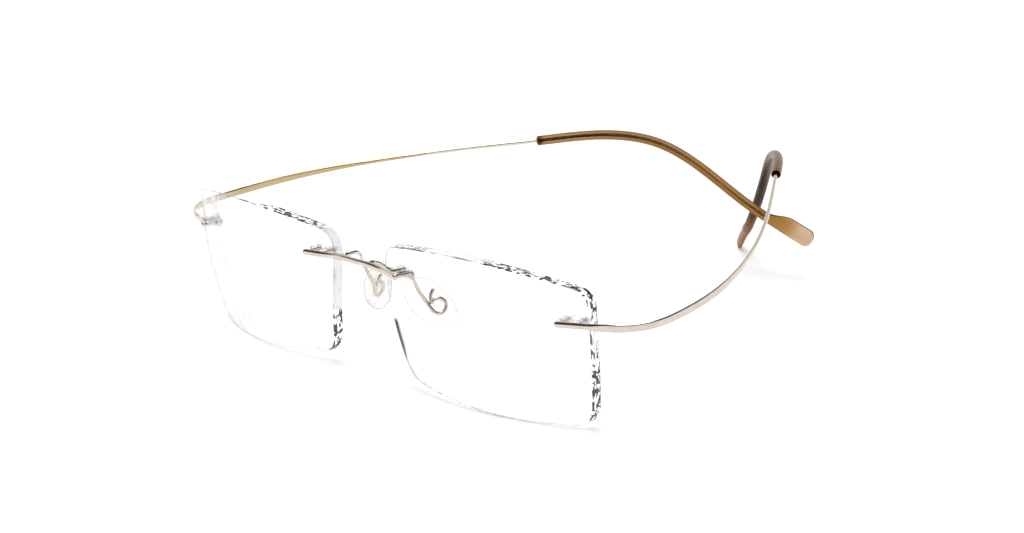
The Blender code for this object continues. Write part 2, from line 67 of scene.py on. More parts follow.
LENS_WIDTH = 53.0
BRIDGE_GAP = 17.0
LENS_THICKNESS = 2.0
LENS_RADIUS = 73.0
LENS_CHAMFER = 0.2
LENS_MID_HEIGHT = 13.86
FACE_FORM = math.radians(5.4)
LENS_TILT = math.radians(4.05)
LENS_CORNERS = ((-26.85, 11.35, 4.3), (26.35, 10.45, 2.8), (23.5, -14.0, 3.4),
                (-22.35, -12.15, 3.2))
LENS_BULGES = (3.4, 1.15, 1.0, 0.7)
BRIDGE_MOUNT = (-22.4, 7.5)
END_MOUNT = (22.9, 5.0)
HOLE_SPACING = 3.5
HOLE_RADIUS = 0.80
SLEEVE_RADIUS = 0.74
SLEEVE_FLANGE = (7.4, 1.8, 0.5)
FLANGE_STANDOFF = 0.14
SLEEVE_START = 0.25
POST_RADIUS = 0.40
POST_END = 0.5
BAR_RADIUS = 0.55
BAR_PAST_POST = 0.45
BAR_ON_EDGE = 3.6
EDGE_EARLY = 0.4
BAR_STANDOFF = BAR_RADIUS + 0.1
BRIDGE_MIDDLE = (0.0, 3.9, 22.0)
BRIDGE_SIDE = (4.4, 4.0, 21.95)
STRIP_HALF_HEIGHT = 0.68
STRIP_HALF_THICKNESS = 0.26
WIRE_RADIUS = 0.36
STRIP_FULL_UNTIL = 16.0
STRIP_GONE_AT = 42.0
FLEX_POINT = (69.6, 15.5, 19.65)
STRIP_BLEND = 4.0
END_BAR_TURN = ((62.0, 9.2, 19.5), (66.3, 11.3, 19.5))
TEMPLE_ROUTE = {
    "left": ((69.9, 22.0, 20.2), (67.8, 31.4, 21.3), (60.1, 45.9, 23.3), (51.3, 57.3, 25.1),
             (42.9, 66.4, 26.8), (35.2, 74.2, 28.0), (26.1, 82.7, 28.3), (16.4, 89.3, 25.7),
             (7.65, 94.7, 19.1), (-0.8, 98.45, 9.95), (-11.6, 103.485, 0.95)),
    "right": ((70.5, 22.2, 19.85), (69.1, 31.6, 20.6), (61.5, 46.0, 22.2), (52.7, 57.3, 23.3),
              (44.2, 66.1, 24.2), (36.3, 73.6, 24.9), (26.9, 81.8, 25.7), (16.6, 88.1, 24.3),
              (6.65, 91.1, 19.8), (-3.95, 92.75, 14.1), (-16.3, 96.5, 7.43)),
}
TIP_START_KNOT = 5
TIP_RADIUS = 0.94
CORE_SHORT_OF_END = 9.3
PADDLE_LENGTH = 10.0
PADDLE_HALF_HEIGHT = 1.74
PADDLE_HALF_THICKNESS = 0.70
PADDLE_EASE = 1.7
PADDLE_DOME = 1.27
PADDLE_TWIST = math.radians(22)
PAD_CENTRE = (8.2, 14.0, 13.1)
PAD_NORMAL = (0.87, -0.38, 0.31)
PAD_LONG_AXIS = (0.5, 0.72, -1.0)
PAD_HALF_LENGTH = 5.8
PAD_HALF_WIDTH = 3.4
PAD_BACK_DEPTH = 1.3
PAD_EGG = 0.06
CURL_CENTRE = (1.3, 0.5)
CURL_RADIUS = 1.38
CURL_START = math.radians(-102)
CURL_TURN = math.radians(300)
CURL_HEIGHT = 0.5
CURL_TAIL = ((-0.72, 0.62), (-1.15, 1.2), (-1.35, 2.0))
ARM_LEAD_IN = Vector((-2.4, 0.5, 0.0))
ARM_RADIUS = 0.36
ARM_ROOT = (4.2, 5.0, 22.2)
ARM_KNEE = {
    "left": ((4.4, 6.55, 21.5), (5.0, 7.6, 20.45)),
    "right": ((4.2, 7.5, 22.1), (4.7, 8.2, 21.6)),
}
ARM_SHOULDER = (7.4, 10.3, 19.3)

# ---------------------------------------------------------------- finer steps for the looks

SIDE_STEPS = 34
CORNER_STEPS = 12
FINE_SHRINK = 0.02
LENS_RINGS = (0.18, 0.36, 0.54, 0.7, 0.83, 0.93)
HOLE_SIDES = 40
BAR_STEP = 0.35
BAR_SIDES = 24
SIDE_STEP = 0.5
TIP_STEP = 0.45
TIP_SIDES = 32
ARM_STEP = 0.16
ARM_SIDES = 18
CURL_STEPS = 16
PAD_SIDES = 72
SLEEVE_SIDES = 28
POST_SIDES = 24
PLATE_END_STEPS = 14
SHARP_ANGLE = math.radians(35)
DOME_ANGLES = (86, 74, 62, 50, 38, 26, 13)
PADDLE_DOME_ANGLES = (12, 24, 36, 48, 60, 72, 84)
FULL_SQUARENESS = 0.55
NEAR_EDGE_INSET = LENS_CHAMFER + 0.35
ON_WALL_WITHIN = LENS_CHAMFER + 0.12
WALL_PARTS = 4
DRILL_OVERSHOOT = 1.0
PLATE_SOFTENING = 0.14
SLEEVE_OVERLAP = 0.02
SLEEVE_LEAD = 0.06
COLLAR_HEIGHT = 0.55 * POST_END
COLLAR_STEP = 0.08
COLLAR_RADII = (SLEEVE_RADIUS, SLEEVE_RADIUS - 0.05, SLEEVE_RADIUS - 0.14)
POST_IN_BAR = 0.35 * BAR_RADIUS
STRIP_SQUARENESS = 0.35
BEND_START = (68.6, 13.0, 19.5)
BEND_END = (69.9, 24.0, 20.4)
ARM_ROOT_IN_BRIDGE = 0.45
ARM_FLARE = 0.2
ARM_FLARE_LENGTH = 1.1
FROSTED_FROM_RING = 9

# ---------------------------------------------------------------- numbers for the tips

TIP_STARTS_LATER = {"left": 2, "right": 0}      # in steps of the curve
MOUTH_PROFILE = ((1.5, 0.40), (0.7, 0.55), (0.12, 0.72), (0.0, 0.80), (0.06, 0.88),
                 (0.2, TIP_RADIUS))
# the recess at each tip's mouth and the wire within the tip take a near-black painted shade
MOUTH_DARK_RINGS = 3
DARK_CORE_IN_TIP = 2                            # steps from the mouth to where the wire goes dark
# painted shade in each tip, where little light reaches the plastic:
# how dark by the mouth, midway and at the end
PAINTED_SHADE_LEVELS = {"left": (0.3, 0.93, 0.0), "right": (0.0, 0.15, 0.0)}
PAINTED_SHADE_MIDWAY = (9, 8)                            # starts this far from the mouth, takes this long
PAINTED_SHADE_END = (17, 11)                             # starts this far from the end, takes this long
PAINTED_SHADE_AT_MOUTH = (0.85, 1.5, 0.9)                # how deep, until how far, fading over this length
PALE_END = {"left": 0.0, "right": 1.0}
CORE_END_FADE = (0.6, 1.2)
# painted shade along the paddle's upper border, where refraction darkens its edge
RIM_SHADE = (0.9, 0.86, 0.08)                   # how dark, from which height, over how much of it

# ---------------------------------------------------------------- numbers for materials and light

NOISE_SPAN = (0.3, 0.7)                         # noise values seldom leave this span
# where the warm reflection painted on the right strip fades in and out
WARM_FADE_IN = (-0.037, -0.03)                  # along Y, in metres
WARM_FADE_OUT = (0.0, 0.006)
# painted glints and border lines on the lens edge, standing in for its reflections
GLINT_STRENGTH = 0.75
GLINT_TINT = 0.8
BORDER_BAND = (0.72, 0.84)                      # millimetres from the middle of the edge
BORDER_SHADE = 0.32
SOFT_BORDER = 0.25
FLOOR_SIZE = 4.0
STUDIO_STRENGTH = 7.0
PANEL_FROM = (0.935, 0.955)                     # up part of a direction: 0 level, 1 straight up
RING_UNTIL = (0.3, 0.38)
RING_SHADE = 0.16
FAR_SIDE_SHADE = 0.1
DARK_SHADE = 0.004
FAR_SIDE_FROM = (-0.64, -0.52)
CAMERA_AZIMUTH = math.radians(54.11)
CAMERA_ELEVATION = math.radians(15.07)
CAMERA_ROLL = math.radians(-4.81)
CAMERA_TARGET = (-0.00195, -0.01354, 0.01237)
CAMERA_DISTANCE = 0.676
CAMERA_LENS = 127.2
CAMERA_SENSOR = 36.0
CAMERA_CLIP_START = 0.01


# ---------------------------------------------------------------- small helpers

def to_world(point):
    return Vector((point[0], point[1] - CENTRE_Y, point[2])) * MM


def mirrored(point):
    return Vector((-point[0], point[1], point[2]))


def add_piece(name, shape, materials, side="left"):
    """Turn a bmesh in left-hand design millimetres into an object at the origin."""
    place = mirrored if side == "right" else Vector
    for vertex in shape.verts:
        vertex.co = to_world(place(vertex.co))
    bmesh.ops.recalc_face_normals(shape, faces=shape.faces)
    mesh = bpy.data.meshes.new(name)
    shape.to_mesh(mesh)
    shape.free()
    mesh.shade_smooth()
    mesh.set_sharp_from_angle(angle=SHARP_ANGLE)
    for material in materials:
        mesh.materials.append(material)
    piece = bpy.data.objects.new(name, mesh)
    bpy.context.scene.collection.objects.link(piece)
    return piece


def smooth_curve(knots, step):
    """Points about step apart on the natural cubic spline through the knots."""
    knots = np.array([tuple(k) for k in knots], float)
    spans = np.linalg.norm(np.diff(knots, axis=0), axis=1)
    count = len(knots)
    system = np.eye(count)
    right_side = np.zeros_like(knots)
    for i in range(1, count - 1):
        system[i, i - 1:i + 2] = (spans[i - 1], 2 * (spans[i - 1] + spans[i]), spans[i])
        rise = (knots[i + 1] - knots[i]) / spans[i] - (knots[i] - knots[i - 1]) / spans[i - 1]
        right_side[i] = 6 * rise
    bend = np.linalg.solve(system, right_side)
    points = []
    for i, span in enumerate(spans):
        pieces = max(1, round(span / step))
        for k in range(pieces + (i == len(spans) - 1)):
            b = k / pieces
            a = 1 - b
            curved = ((a**3 - a) * bend[i] + (b**3 - b) * bend[i + 1]) * span**2 / 6
            points.append(Vector(a * knots[i] + b * knots[i + 1] + curved))
    return points


def distances(points):
    """The length along the points up to each of them."""
    total = [0.0]
    for a, b in zip(points, points[1:]):
        total.append(total[-1] + (b - a).length)
    return total


def frames_along(points, up=Vector((0, 0, 1))):
    """A tangent, an across and an up direction at each point, carried along without twist."""
    frames = []
    for i in range(len(points)):
        before = points[max(i - 1, 0)]
        after = points[min(i + 1, len(points) - 1)]
        tangent = (after - before).normalized()
        across = tangent.cross(up).normalized()
        up = across.cross(tangent)
        frames.append((tangent, across, up))
    return frames


def ease(value):
    """0 to 1 with flat ends."""
    value = min(max(value, 0.0), 1.0)
    return value * value * (3 - 2 * value)


def section_ring(shape, centre, across, up, half_across, half_up, sides, squareness=0.0):
    """An ellipse, or with squareness above 0 a rounded oblong, of the given half sizes."""
    ring = []
    power = 1 - FULL_SQUARENESS * squareness
    for k in range(sides):
        angle = 2 * math.pi * (k + 0.5) / sides
        c, s = math.cos(angle), math.sin(angle)
        x = math.copysign(abs(c)**power, c)
        y = math.copysign(abs(s)**power, s)
        ring.append(shape.verts.new(centre + across * half_across * x + up * half_up * y))
    return ring


def skin(shape, rings):
    """Join successive rings with quads, and cap both ends. Returns the side faces."""
    faces = []
    for low, high in zip(rings, rings[1:]):
        count = len(low)
        for k in range(count):
            faces.append(shape.faces.new((low[k], low[(k + 1) % count],
                                          high[(k + 1) % count], high[k])))
    for ring in (rings[0], rings[-1]):
        middle = shape.verts.new(sum((v.co for v in ring), Vector()) / len(ring))
        for k, vertex in enumerate(ring):
            shape.faces.new((vertex, ring[(k + 1) % len(ring)], middle))
    return faces


def round_rings(shape, points, frames, sizes, sides, start=False, end=False):
    """Rings along the points; sizes gives (half across, half up, squareness) for each."""
    def domed(index, sign):
        centre, (tangent, across, up), (a, u, q) = points[index], frames[index], sizes[index]
        for turn in DOME_ANGLES:
            lean = math.radians(turn)
            out = centre + tangent * sign * min(a, u) * math.sin(lean)
            scale = math.cos(lean)
            yield section_ring(shape, out, across, up, a * scale, u * scale, sides, q)

    rings = list(domed(0, -1)) if start else []
    for point, (_, across, up), (a, u, q) in zip(points, frames, sizes):
        rings.append(section_ring(shape, point, across, up, a, u, sides, q))
    if end:
        rings += reversed(list(domed(len(points) - 1, 1)))
    return rings


def apply_cut(piece, cutters):
    """Boolean difference with the cutters, applied to the mesh, cutters removed."""
    for cutter in cutters:
        step = piece.modifiers.new("cut", "BOOLEAN")
        step.operation = "DIFFERENCE"
        step.solver = "EXACT"
        step.object = cutter
    evaluated = piece.evaluated_get(bpy.context.evaluated_depsgraph_get())
    mesh = bpy.data.meshes.new_from_object(evaluated)
    old = piece.data
    piece.modifiers.clear()
    piece.data = mesh
    bpy.data.meshes.remove(old)
    mesh.name = piece.name
    mesh.shade_smooth()
    mesh.set_sharp_from_angle(angle=SHARP_ANGLE)
    for cutter in cutters:
        bpy.data.objects.remove(cutter, do_unlink=True)


# ---------------------------------------------------------------- materials

def new_material(name, **sockets):
    """A Principled material with constants set on its own sockets."""
    material = bpy.data.materials.new(name)
    material.use_nodes = True
    shader = material.node_tree.nodes["Principled BSDF"]
    for socket, value in sockets.items():
        shader.inputs[socket.replace("_", " ")].default_value = value
    return material, material.node_tree, shader


def node(tree, kind, **settings):
    made = tree.nodes.new(kind)
    for key, value in settings.items():
        setattr(made, key, value)
    return made


def ramp(tree, source, stops):
    """A colour ramp fed by source; stops are (place, colour)."""
    made = node(tree, "ShaderNodeValToRGB")
    band = made.color_ramp
    while len(band.elements) < len(stops):
        band.elements.new(0.5)
    for element, (place, colour) in zip(band.elements, stops):
        element.position = place
        element.color = (*colour, 1.0)
    tree.links.new(source, made.inputs["Fac"])
    return made.outputs["Color"]


def spread(tree, source, low, high, from_low=0.0, from_high=1.0):
    """Map from_low..from_high to low..high, without going past either."""
    made = node(tree, "ShaderNodeMapRange")
    for name, value in (("From Min", from_low), ("From Max", from_high),
                        ("To Min", low), ("To Max", high)):
        made.inputs[name].default_value = value
    tree.links.new(source, made.inputs["Value"])
    return made.outputs["Result"]


def feed(tree, sockets, values):
    """Link each value that is a socket, and set each that is a number or a colour."""
    for socket, value in zip(sockets, values):
        if isinstance(value, (int, float, tuple)):
            socket.default_value = value
        else:
            tree.links.new(value, socket)


def maths(tree, operation, first, second=0.0):
    made = node(tree, "ShaderNodeMath", operation=operation)
    feed(tree, made.inputs, (first, second))
    return made.outputs[0]


def blend(tree, amount, first, second, mode="MIX"):
    """Mix two colours; amount 0 gives the first."""
    made = node(tree, "ShaderNodeMix", data_type="RGBA", blend_type=mode)
    feed(tree, (made.inputs[0], made.inputs[6], made.inputs[7]), (amount, first, second))
    return made.outputs[2]


def two_tone(tree, source, dark, light):
    """Colour a noise from dark to light."""
    return ramp(tree, source, ((NOISE_SPAN[0], dark), (NOISE_SPAN[1], light)))


def attribute(tree, name, output="Fac"):
    return node(tree, "ShaderNodeAttribute", attribute_name=name).outputs[output]


def outline_weight(tree):
    """0 where the surface faces the eye, 1 at its outline."""
    made = node(tree, "ShaderNodeLayerWeight")
    made.inputs["Blend"].default_value = 0.5
    return made.outputs["Facing"]


def noise(tree, scale, detail, place=None, roughness=0.5):
    """A noise texture with scale cells to the metre, or to the unit of the place given."""
    made = node(tree, "ShaderNodeTexNoise")
    made.inputs["Scale"].default_value = scale
    made.inputs["Detail"].default_value = detail
    made.inputs["Roughness"].default_value = roughness
    place = place or node(tree, "ShaderNodeTexCoord").outputs["Object"]
    tree.links.new(place, made.inputs["Vector"])
    return made.outputs["Fac"]


def bump(tree, shader, height, strength, distance):
    made = node(tree, "ShaderNodeBump")
    made.inputs["Strength"].default_value = strength
    made.inputs["Distance"].default_value = distance
    tree.links.new(height, made.inputs["Height"])
    tree.links.new(made.outputs["Normal"], shader.inputs["Normal"])


def titanium_material(name, dark, light, warm=None):
    """Satin champagne titanium: faint cloudy tone, fine grain in the gloss.

    A warm colour, painted on to stand in for a warm reflection, tints the stretch of the strip
    between the two fades.
    """
    material, tree, shader = new_material(name, Metallic=1.0)
    colour = two_tone(tree, noise(tree, 420.0, 3.0), dark, light)
    if warm:
        split = node(tree, "ShaderNodeSeparateXYZ")
        tree.links.new(node(tree, "ShaderNodeTexCoord").outputs["Object"], split.inputs[0])
        fade_in = spread(tree, split.outputs["Y"], 0.0, 0.9, *WARM_FADE_IN)
        fade_out = spread(tree, split.outputs["Y"], 1.0, 0.0, *WARM_FADE_OUT)
        colour = blend(tree, maths(tree, "MULTIPLY", fade_in, fade_out), colour, (*warm, 1.0))
    tree.links.new(colour, shader.inputs["Base Color"])
    grain = noise(tree, 5200.0, 2.0)
    tree.links.new(spread(tree, grain, 0.1, 0.2, *NOISE_SPAN), shader.inputs["Roughness"])
    bump(tree, shader, grain, 0.08, 0.00002)
    return material


def clear_material(name, tints, alphas, rough, start, flecked=0.0):
    """Clear plastic without bending of light: it thickens and greys towards its outline.

    tints are its colours when seen thin, between and thick, alphas are for its face and its
    outline, start is where the outline begins, and flecked is the shade of the glints painted
    in it.
    """
    material, tree, shader = new_material(name, IOR=1.5)
    haze = noise(tree, 700.0, 3.0)
    # painted glints: dark flecks scattered through the plastic
    fleck = spread(tree, noise(tree, 1500.0, 1.0), 0.0, flecked, 0.57, 0.63)
    shade = maths(tree, "MAXIMUM", spread(tree, outline_weight(tree), 0.0, 1.0, start, 0.95), fleck)
    colour = ramp(tree, shade, tuple(zip((0.0, 0.55, 1.0), tints)))
    alpha = maths(tree, "MULTIPLY", spread(tree, shade, *alphas),
                  spread(tree, haze, 0.8, 1.2, *NOISE_SPAN))
    gloss = spread(tree, haze, rough * 0.7, rough * 1.4, *NOISE_SPAN)
    tree.links.new(colour, shader.inputs["Base Color"])
    tree.links.new(alpha, shader.inputs["Alpha"])
    tree.links.new(gloss, shader.inputs["Roughness"])
    return material


def lens_edge_material():
    """The polished edge of a cut lens: painted broken black, white, blue and orange glints.

    Vertex attributes carry the place on the edge, how dark its painted shade is, how broken the
    painted glints are, and how strong the painted lines along its two borders are. All of them
    stand in for the edge's reflections.
    """
    material, tree, shader = new_material("lens_edge", IOR=1.5)
    place = attribute(tree, "edge_mm", "Vector")
    tone, broken, lines = (attribute(tree, name)
                           for name in ("edge_painted_shade", "edge_painted_glints", "edge_painted_lines"))

    def streaks(lean, stretch, scale, detail):
        """Noise drawn out along the edge, in millimetres, and leaning across it."""
        mapping = node(tree, "ShaderNodeMapping")
        mapping.inputs["Rotation"].default_value = (0.0, lean, 0.0)
        mapping.inputs["Scale"].default_value = stretch
        tree.links.new(place, mapping.inputs["Vector"])
        return noise(tree, scale, detail, mapping.outputs["Vector"], roughness=0.6)

    dashes = streaks(0.0, (0.4, 1.0, 1.5), 1.0, 2.0)
    flecks = streaks(0.7, (0.9, 1.0, 1.6), 1.2, 1.0)
    mixed = maths(tree, "ADD", maths(tree, "MULTIPLY", dashes, 0.55),
                  maths(tree, "MULTIPLY", flecks, 0.45))
    swing = maths(tree, "MULTIPLY", spread(tree, mixed, -1.0, 1.0, 0.46, 0.54), broken)
    depth = node(tree, "ShaderNodeSeparateXYZ")
    tree.links.new(place, depth.inputs[0])
    off_middle = maths(tree, "ABSOLUTE",
                       maths(tree, "SUBTRACT", depth.outputs["Z"], LENS_THICKNESS / 2))
    border = maths(tree, "MULTIPLY", spread(tree, off_middle, 0.0, BORDER_SHADE, *BORDER_BAND),
                   spread(tree, dashes, 0.6, 1.3, 0.4, 0.6))
    border = maths(tree, "MULTIPLY", border, lines)
    # painted shade, glints and border lines standing in for the edge's reflections
    shade = maths(tree, "ADD", tone, maths(tree, "MULTIPLY", swing, GLINT_STRENGTH))
    shade = maths(tree, "ADD", shade, border)
    grey = ramp(tree, shade, ((0.0, (0.96, 0.96, 0.96)), (0.25, (0.63, 0.635, 0.63)),
                              (0.5, (0.2, 0.22, 0.25)), (0.8, (0.01, 0.012, 0.015))))
    tint = ramp(tree, streaks(0.4, (0.5, 1.0, 1.2), 1.3, 0.0),
                ((0.38, (1.0, 0.62, 0.36)), (0.46, (1.0, 1.0, 1.0)),
                 (0.54, (1.0, 1.0, 1.0)), (0.64, (0.3, 0.6, 1.0))))
    colour = blend(tree, maths(tree, "MULTIPLY", broken, GLINT_TINT), grey, tint, "MULTIPLY")
    tree.links.new(colour, shader.inputs["Base Color"])
    tree.links.new(spread(tree, shade, 0.02, 0.97, 0.0, 0.55), shader.inputs["Alpha"])
    tree.links.new(spread(tree, flecks, 0.06, 0.2, *NOISE_SPAN), shader.inputs["Roughness"])
    return material


def tip_material():
    """Translucent amber-brown plastic, deeper brown towards its outline.

    Vertex attributes carry where it is solid (paddle), where it pales towards its end, painted
    shade where little light reaches the plastic (deep), and painted shade along the upper border
    of the paddle, where refraction darkens it (rim). Where it isn't solid, its middle lets the
    wire, painted near-black as shade, show through.
    """
    material, tree, shader = new_material("tip_amber", IOR=1.5, Specular_IOR_Level=0.14)
    weight = outline_weight(tree)
    paddle, pale, painted_shade, rim = (attribute(tree, name) for name in ("paddle", "pale", "painted_shade", "rim"))
    cloud = noise(tree, 260.0, 3.0)
    body = ramp(tree, weight, ((0.1, (0.46, 0.225, 0.05)), (0.45, (0.36, 0.15, 0.022)),
                               (0.9, (0.15, 0.045, 0.008))))
    end = ramp(tree, maths(tree, "ADD", pale, maths(tree, "MULTIPLY", cloud, 0.16)),
               ((0.2, (0.44, 0.22, 0.055)), (0.65, (0.56, 0.33, 0.13)), (1.0, (0.74, 0.52, 0.33))))
    colour = blend(tree, pale, body, end)
    # painted shade where little light reaches the plastic
    colour = blend(tree, painted_shade, colour, (0.016, 0.005, 0.001, 1.0))
    # painted shade along the paddle's upper border
    colour = blend(tree, rim, colour, (0.05, 0.018, 0.008, 1.0))
    tree.links.new(colour, shader.inputs["Base Color"])
    over_core = spread(tree, weight, 0.1, 0.94, 0.05, 0.17)
    tree.links.new(maths(tree, "MAXIMUM", over_core, paddle), shader.inputs["Alpha"])
    grain = noise(tree, 2600.0, 2.0)
    tree.links.new(spread(tree, grain, 0.2, 0.34, *NOISE_SPAN), shader.inputs["Roughness"])
    bump(tree, shader, grain, 0.06, 0.00003)
    return material


def dark_material(name, dark, light):
    """The wire and the bore in the tip, painted near-black as the shade the plastic gives them."""
    material, tree, shader = new_material(name, Specular_IOR_Level=0.1)
    grain = noise(tree, 1500.0, 2.0)
    tree.links.new(two_tone(tree, grain, dark, light), shader.inputs["Base Color"])
    tree.links.new(spread(tree, grain, 0.3, 0.5, *NOISE_SPAN), shader.inputs["Roughness"])
    return material


def floor_material():
    material, tree, shader = new_material(
        "pale_floor", IOR=1.25, Emission_Color=(1.0, 1.0, 1.0, 1.0), Emission_Strength=0.3)
    cloud = noise(tree, 3.0, 3.0)
    tree.links.new(two_tone(tree, cloud, (0.9, 0.9, 0.9), (0.92, 0.92, 0.92)),
                   shader.inputs["Base Color"])
    tree.links.new(spread(tree, cloud, 0.4, 0.45, *NOISE_SPAN), shader.inputs["Roughness"])
    return material


def lens_face_material():
    """A clear lens face, which only shows where it mirrors the white room at a low angle."""
    material, tree, shader = new_material("lens_face", IOR=1.5)
    haze = noise(tree, 60.0, 2.0)
    tree.links.new(two_tone(tree, haze, (0.97, 0.975, 0.98), (1.0, 1.0, 1.0)),
                   shader.inputs["Base Color"])
    sheen = ramp(tree, outline_weight(tree),
                 ((0.0, (0.01, 0.01, 0.01)), (0.69, (0.015, 0.015, 0.015)),
                  (0.75, (0.28, 0.28, 0.28)), (0.85, (0.6, 0.6, 0.6))))
    tree.links.new(sheen, shader.inputs["Alpha"])
    tree.links.new(spread(tree, haze, 0.03, 0.05, *NOISE_SPAN), shader.inputs["Roughness"])
    return material


CHAMPAGNE = ((0.60, 0.53, 0.46), (0.68, 0.61, 0.54))
TITANIUM = titanium_material("titanium_satin", *CHAMPAGNE)
# the right strip alone gets a warm reflection painted into its colour
TITANIUM_PAINTED_WARM = titanium_material("titanium_painted_warm", *CHAMPAGNE, warm=(0.5, 0.37, 0.2))
LENS_FACE = lens_face_material()
LENS_EDGE = lens_edge_material()
SLEEVE = clear_material("sleeve_clear",
                        ((0.96, 0.97, 0.97), (0.5, 0.51, 0.52), (0.05, 0.05, 0.055)),
                        (0.06, 0.55), rough=0.1, start=0.5, flecked=0.7)
SILICONE = clear_material("pad_silicone",
                          ((0.98, 0.97, 0.93), (0.86, 0.84, 0.77), (0.16, 0.14, 0.08)),
                          (0.02, 0.9), rough=0.2, start=0.27)
SILICONE_FROSTED = clear_material("pad_silicone_frosted",
                                  ((0.98, 0.96, 0.9), (0.84, 0.82, 0.75), (0.2, 0.18, 0.11)),
                                  (0.04, 0.85), rough=0.5, start=0.33)
TIP = tip_material()
CORE_PAINTED_SHADE = dark_material("core_painted_shade", (0.012, 0.007, 0.004), (0.03, 0.018, 0.01))
MOUTH_PAINTED_SHADE = dark_material("tip_mouth_painted_shade", (0.01, 0.006, 0.004), (0.02, 0.012, 0.008))


# ---------------------------------------------------------------- lenses

def lens_depth(across, up):
    """How far the lens front falls back from its middle."""
    return LENS_RADIUS - math.sqrt(LENS_RADIUS**2 - across**2 - up**2)


def lens_turn():
    return Matrix.Rotation(LENS_TILT, 3, "X") @ Matrix.Rotation(FACE_FORM, 3, "Z")


def lens_point(across, up, behind=0.0):
    local = Vector((across + LENS_WIDTH / 2, lens_depth(across, up) + behind, up))
    return lens_turn() @ local + Vector((BRIDGE_GAP / 2, 0.0, LENS_MID_HEIGHT))


def lens_local(point):
    """Inverse of lens_point: across, up and distance behind the front, in millimetres."""
    local = lens_turn().inverted() @ (point - Vector((BRIDGE_GAP / 2, 0.0, LENS_MID_HEIGHT)))
    across = local.x - LENS_WIDTH / 2
    return Vector((across, local.z, local.y - lens_depth(across, local.z)))


def edge_point(index, t):
    """A place on one side of the lens outline, which bulges outward between its corners."""
    start = Vector(LENS_CORNERS[index][:2])
    end = Vector(LENS_CORNERS[(index + 1) % 4][:2])
    along = end - start
    outward = Vector((-along.y, along.x)).normalized()
    return start + along * t + outward * LENS_BULGES[index] * 4 * t * (1 - t)


def lens_outline():
    """(point, place) round the outline; place counts 0 to 4, one for each side and corner."""
    points = []
    for i in range(4):
        j = (i + 1) % 4
        k = (i + 2) % 4
        length = (Vector(LENS_CORNERS[j][:2]) - Vector(LENS_CORNERS[i][:2])).length
        next_length = (Vector(LENS_CORNERS[k][:2]) - Vector(LENS_CORNERS[j][:2])).length
        first = LENS_CORNERS[i][2] / length
        last = 1 - LENS_CORNERS[j][2] / length
        for step in range(SIDE_STEPS):
            t = first + (last - first) * step / SIDE_STEPS
            points.append((edge_point(i, t), i + t))
        start = edge_point(i, last)
        end = edge_point(j, LENS_CORNERS[j][2] / next_length)
        corner = Vector(LENS_CORNERS[j][:2])
        for step in range(CORNER_STEPS):
            t = step / CORNER_STEPS
            place = i + last + t * (1 - last + LENS_CORNERS[j][2] / next_length)
            points.append((start * (1 - t)**2 + corner * 2 * t * (1 - t) + end * t**2, place % 4))
    return points


def at_place(table, place):
    """The values of a table of (place, values...) at a place, straight between its rows.

    The table goes round: place 4 is place 0 again.
    """
    rows = sorted(table)
    rows = [(rows[-1][0] - 4, *rows[-1][1:])] + rows + [(rows[0][0] + 4, *rows[0][1:])]
    for low, high in zip(rows, rows[1:]):
        if low[0] <= place <= high[0]:
            t = (place - low[0]) / (high[0] - low[0])
            return [a + (b - a) * t for a, b in zip(low[1:], high[1:])]


# painted reflections on the lens edge round the outline: (place, tone, glints, reach);
# tone is painted shade and glints are painted glints
# places: 0 top nasal corner, 1 top temporal, 2 lower temporal, 3 lower nasal;
# reach is how far behind the front the look keeps up, as a part of the thickness: 1 is all over
EDGE_LOOK = {
    "left": (
        (0.0, 0.12, 0.0, 1.0), (0.06, 0.25, 0.1, 1.0), (0.14, 0.42, 0.3, 1.0),
        (0.27, 0.42, 0.4, 1.0), (0.33, 0.08, 0.05, 1.0), (0.53, 0.08, 0.05, 1.0),
        (0.64, 0.3, 0.6, 1.0), (0.8, 0.42, 1.0, 1.0), (0.97, 0.42, 1.0, 1.0),
        (1.05, 0.35, 1.0, 1.0), (1.2, 0.2, 0.7, 1.0), (1.3, 0.08, 0.2, 1.0),
        (1.42, 0.15, 0.4, 1.0), (1.5, 0.45, 1.0, 1.0), (1.85, 0.45, 1.0, 1.0),
        (1.97, 0.22, 0.5, 1.0), (2.1, 0.25, 0.1, 0.4), (2.3, 0.3, 0.2, 0.25),
        (2.6, 0.42, 0.4, 0.25), (2.85, 0.3, 0.2, 0.25), (3.0, 0.4, 0.1, 0.25),
        (3.15, 0.6, 0.1, 0.3), (3.25, 1.3, 0.0, 0.35), (3.43, 1.5, 0.0, 0.35),
        (3.46, 0.15, 0.0, 0.3), (3.8, 0.12, 0.0, 0.3), (3.95, 0.4, 0.2, 0.3),
    ),
    "right": (
        (0.0, 0.3, 0.05, 1.0), (0.07, 0.33, 0.3, 1.0), (0.13, 0.47, 1.0, 1.0),
        (0.34, 0.35, 0.9, 1.0), (0.44, 0.12, 0.1, 0.5), (0.55, 0.1, 0.02, 0.3),
        (0.9, 0.1, 0.0, 0.3), (1.0, 0.25, 0.0, 0.3), (1.1, 0.35, 0.0, 0.3),
        (1.8, 0.32, 0.03, 0.3), (2.0, 0.2, 0.0, 0.3), (2.5, 0.15, 0.05, 0.3),
        (2.9, 0.12, 0.1, 1.0), (3.02, 0.2, 0.6, 1.0), (3.08, 0.38, 1.0, 1.0),
        (3.33, 0.38, 1.0, 1.0), (3.38, 0.27, 0.08, 1.0), (3.9, 0.27, 0.04, 1.0),
    ),
}
# the right lens has only faint painted border lines along the upper nasal part of its edge
SOFT_BORDER_FROM = 3.36
SOFT_BORDER_UNTIL = 0.08


